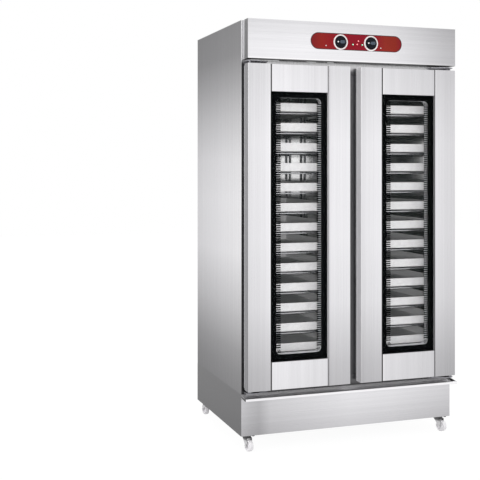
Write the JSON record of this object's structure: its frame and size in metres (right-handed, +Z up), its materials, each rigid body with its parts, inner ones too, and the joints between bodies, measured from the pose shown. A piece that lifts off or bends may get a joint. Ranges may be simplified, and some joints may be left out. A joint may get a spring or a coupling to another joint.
{
  "type": "dough proofing cabinet",
  "caption": "Upright insulated steel proofing cabinet with glazed double doors over racks of baking trays, rotary heat and humidity knobs, drip gutter and swivel castors.",
  "frame": {"origin": "on the floor, in the middle of the space that the cabinet takes up", "axes": "+Z up, +X to the right of a person who faces the doors, +Y from the doors to the back"},
  "size_m": [1, 0.747, 1.815],
  "materials": {
    "outer_steel": "satin brushed stainless",
    "door_steel": "satin, vertical grain",
    "chamber_steel": "bright stainless",
    "rack_steel": "polished rod",
    "zinc_steel": "zinc plated",
    "tray_aluminium": "bright rolled",
    "liner_plastic": "light grey moulded",
    "glass": "clear",
    "border_black": "black",
    "gasket_rubber": "matt light grey",
    "overlay_red": "satin printed",
    "bezel_white": "gloss",
    "knob_black": "satin",
    "lamp_green": "clear green",
    "lamp_red": "clear red",
    "wheel_plastic": "pale grey",
    "dark_plastic": "matt",
    "insulation_foam": "rigid foam",
    "motor_iron": "matt"
  },
  "bodies": {
    "cabinet": {"side_panels": "outer_steel", "back_panel": "outer_steel", "roof_panel": "outer_steel", "base_box": "outer_steel", "base_floor": "zinc_steel", "deck": "zinc_steel", "insulation": "insulation_foam", "chamber_liner": "chamber_steel", "chamber_floor": "chamber_steel", "frame_rails": "outer_steel", "centre_post": "outer_steel", "header_frame": "outer_steel", "header": "door_steel", "control_overlay": "overlay_red", "knob_bezels": "bezel_white", "green_lamps": "lamp_green", "red_lamps": "lamp_red", "thermostats": "dark_plastic", "electrics_shelf": "zinc_steel", "terminal_block": "dark_plastic", "cable_gland": "dark_plastic", "fan_motor": "motor_iron", "fan_guard": "rack_steel", "air_heater": "rack_steel", "water_pan": "chamber_steel", "humidity_heater": "rack_steel", "drip_gutter": "outer_steel", "hinge_brackets": "zinc_steel", "bracket_bolts": "zinc_steel", "castor_plates": "zinc_steel", "castor_bolts": "zinc_steel", "left_rack": "rack_steel", "left_trays": "tray_aluminium", "right_rack": "rack_steel", "right_trays": "tray_aluminium"},
    "left_door": {"left_door_stiles": "door_steel", "left_door_panels": "door_steel", "left_door_glass": "glass", "left_door_spacer": "border_black", "left_door_inner_pan": "liner_plastic", "left_door_gasket": "gasket_rubber", "left_door_pivots": "zinc_steel"},
    "right_door": {"right_door_stiles": "door_steel", "right_door_panels": "door_steel", "right_door_glass": "glass", "right_door_spacer": "border_black", "right_door_inner_pan": "liner_plastic", "right_door_gasket": "gasket_rubber", "right_door_pivots": "zinc_steel"},
    "temperature_dial": {"temperature_knob": "knob_black"},
    "humidity_dial": {"humidity_knob": "knob_black"},
    "fan": {"fan_impeller": "rack_steel"},
    "castor_front_left": {"castor_fork_front_left": "zinc_steel"},
    "wheel_front_left": {"castor_wheel_front_left": "wheel_plastic"},
    "castor_front_right": {"castor_fork_front_right": "zinc_steel"},
    "wheel_front_right": {"castor_wheel_front_right": "wheel_plastic"},
    "castor_rear_left": {"castor_fork_rear_left": "zinc_steel"},
    "wheel_rear_left": {"castor_wheel_rear_left": "wheel_plastic"},
    "castor_rear_right": {"castor_fork_rear_right": "zinc_steel"},
    "wheel_rear_right": {"castor_wheel_rear_right": "wheel_plastic"}
  },
  "joints": [
    {"name": "left_door_hinge", "type": "hinge", "parent": "cabinet", "child": "left_door", "pos_m": [-0.475, -0.3365, 0.95], "axis": [0, 0, -1], "range_deg": [0, 115]},
    {"name": "right_door_hinge", "type": "hinge", "parent": "cabinet", "child": "right_door", "pos_m": [0.475, -0.3365, 0.95], "axis": [0, 0, 1], "range_deg": [0, 115]},
    {"name": "temperature_turn", "type": "hinge", "parent": "cabinet", "child": "temperature_dial", "pos_m": [-0.072, -0.3583, 1.733], "axis": [0, 1, 0], "range_deg": [0, 270]},
    {"name": "humidity_turn", "type": "hinge", "parent": "cabinet", "child": "humidity_dial", "pos_m": [0.072, -0.3583, 1.733], "axis": [0, 1, 0], "range_deg": [0, 270]},
    {"name": "fan_spin", "type": "hinge", "parent": "cabinet", "child": "fan", "pos_m": [0, 0.0025, 1.6], "axis": [0, 0, 1], "continuous": true},
    {"name": "castor_swivel_front_left", "type": "hinge", "parent": "cabinet", "child": "castor_front_left", "pos_m": [-0.462, -0.2615, 0.056], "axis": [0, 0, 1], "continuous": true},
    {"name": "castor_roll_front_left", "type": "hinge", "parent": "castor_front_left", "child": "wheel_front_left", "pos_m": [-0.45887, -0.27923, 0.025], "axis": [0.9848, 0.1736, 0], "continuous": true},
    {"name": "castor_swivel_front_right", "type": "hinge", "parent": "cabinet", "child": "castor_front_right", "pos_m": [0.462, -0.2615, 0.056], "axis": [0, 0, 1], "continuous": true},
    {"name": "castor_roll_front_right", "type": "hinge", "parent": "castor_front_right", "child": "wheel_front_right", "pos_m": [0.46816, -0.27841, 0.025], "axis": [0.9397, 0.342, 0], "continuous": true},
    {"name": "castor_swivel_rear_left", "type": "hinge", "parent": "cabinet", "child": "castor_rear_left", "pos_m": [-0.462, 0.3215, 0.056], "axis": [0, 0, 1], "continuous": true},
    {"name": "castor_roll_rear_left", "type": "hinge", "parent": "castor_rear_left", "child": "wheel_rear_left", "pos_m": [-0.46388, 0.3394, 0.025], "axis": [-0.9945, -0.1045, 0], "continuous": true},
    {"name": "castor_swivel_rear_right", "type": "hinge", "parent": "cabinet", "child": "castor_rear_right", "pos_m": [0.462, 0.3215, 0.056], "axis": [0, 0, 1], "continuous": true},
    {"name": "castor_roll_rear_right", "type": "hinge", "parent": "castor_rear_right", "child": "wheel_rear_right", "pos_m": [0.46513, 0.33923, 0.025], "axis": [-0.9848, 0.1736, 0], "continuous": true}
  ]
}
